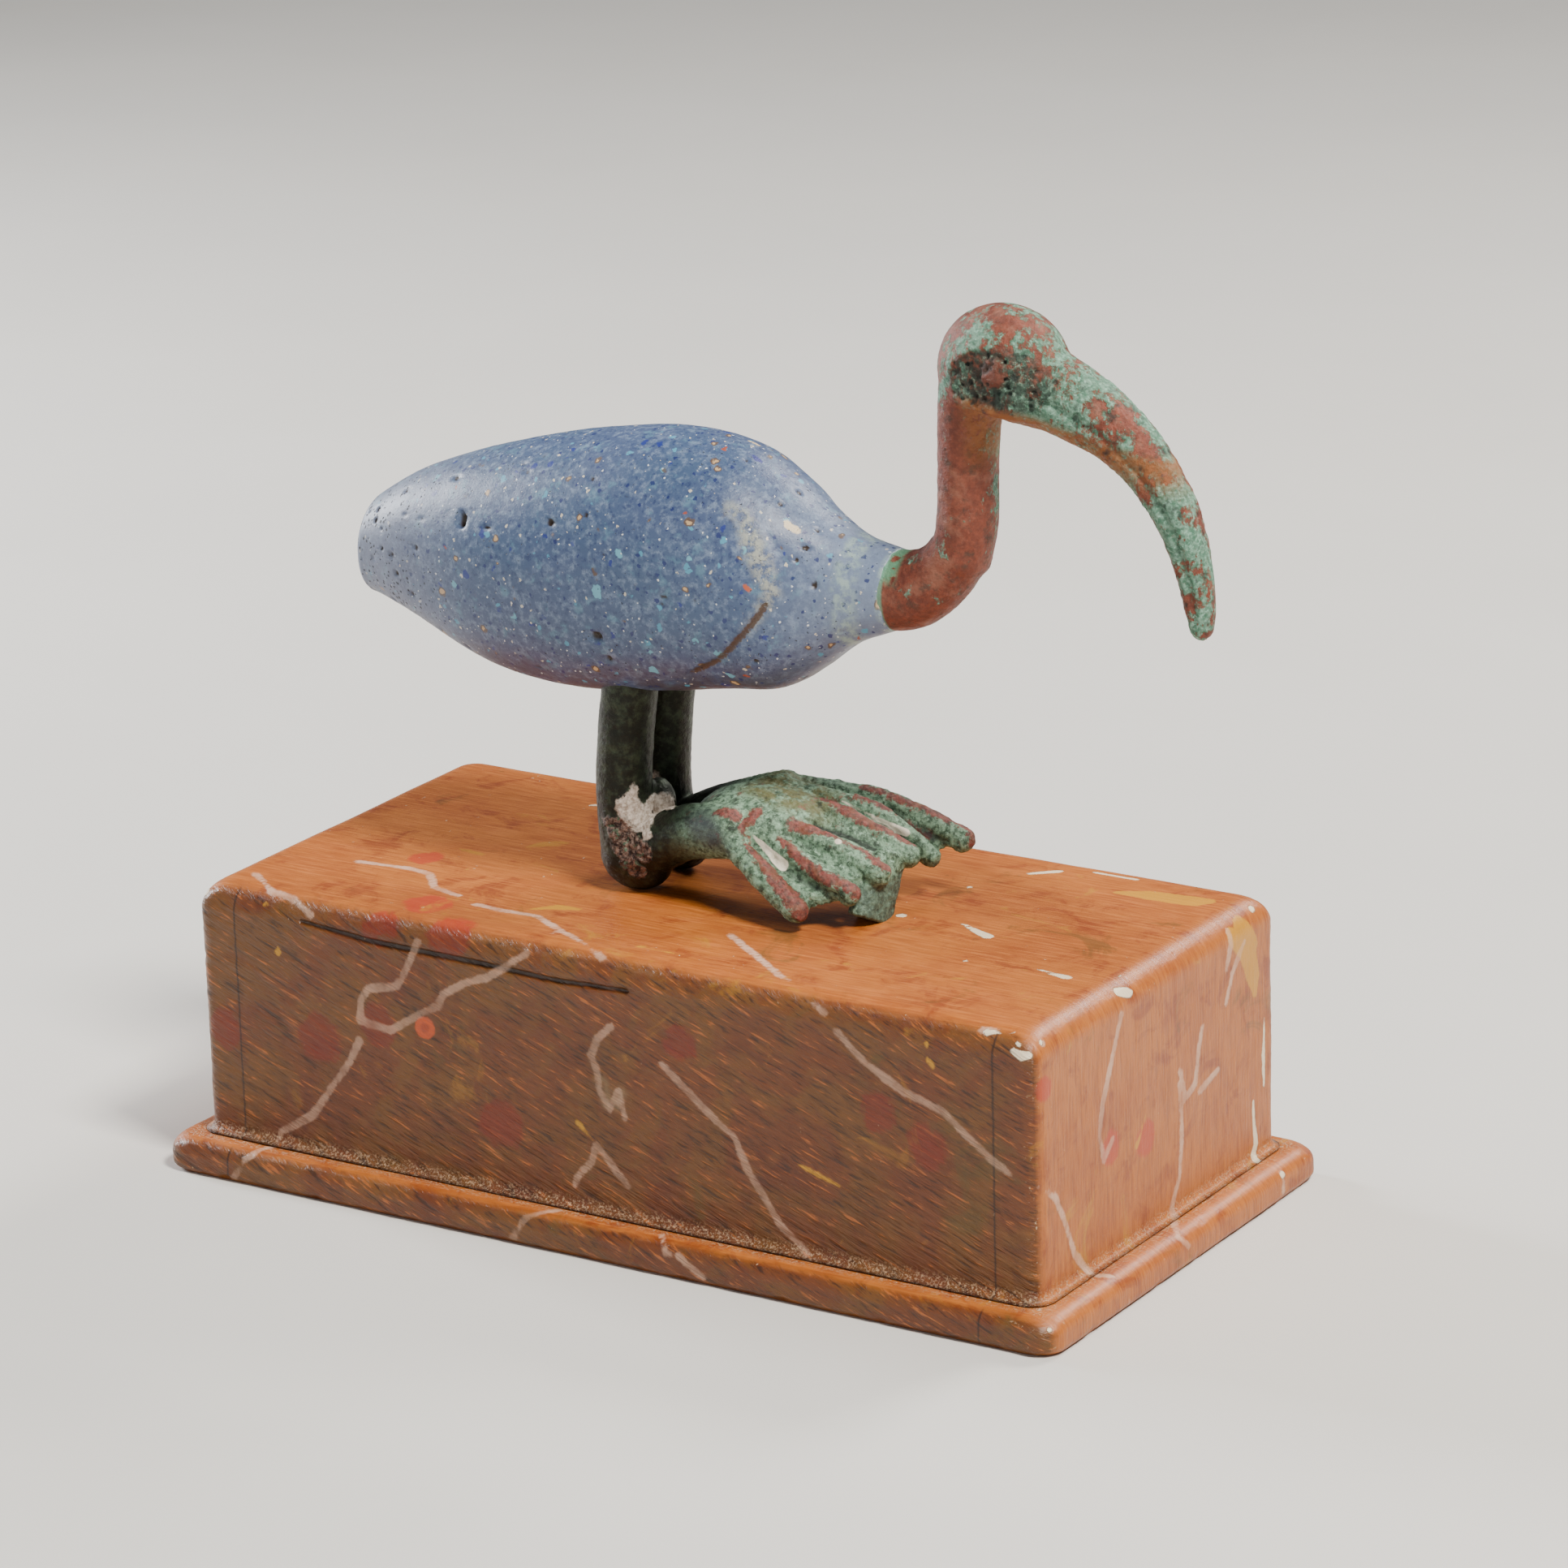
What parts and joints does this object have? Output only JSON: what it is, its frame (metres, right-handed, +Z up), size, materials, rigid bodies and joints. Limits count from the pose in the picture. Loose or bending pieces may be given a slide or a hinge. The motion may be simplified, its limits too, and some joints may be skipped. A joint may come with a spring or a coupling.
{
  "type": "ibis figure on a plinth",
  "caption": "Squatting ibis with a blue frit body and cast bronze head, neck, legs and feet, on a rounded painted wooden plinth with a thin foot slab.",
  "frame": {"origin": "centre of the underside of the plinth's foot slab", "axes": "+X from tail to bill along the plinth, +Y to the bird's left, +Z up"},
  "size_m": [0.143, 0.0728, 0.1246],
  "materials": {
    "foot_paint": "dark orange-brown paint, satin, worn",
    "block_paint": "orange-brown paint with pale veins, satin, worn",
    "frit": "ground blue frit, speckled and finely pored, satin",
    "head_patina": "cast bronze, corroded red-brown and pale green",
    "leg_patina": "cast bronze, dark and olive-green patina with red ridges"
  },
  "bodies": {
    "root": {"plinth_foot": "foot_paint", "plinth_block": "block_paint", "frit_body": "frit", "head_and_neck": "head_patina", "legs_and_feet": "leg_patina"}
  },
  "joints": []
}
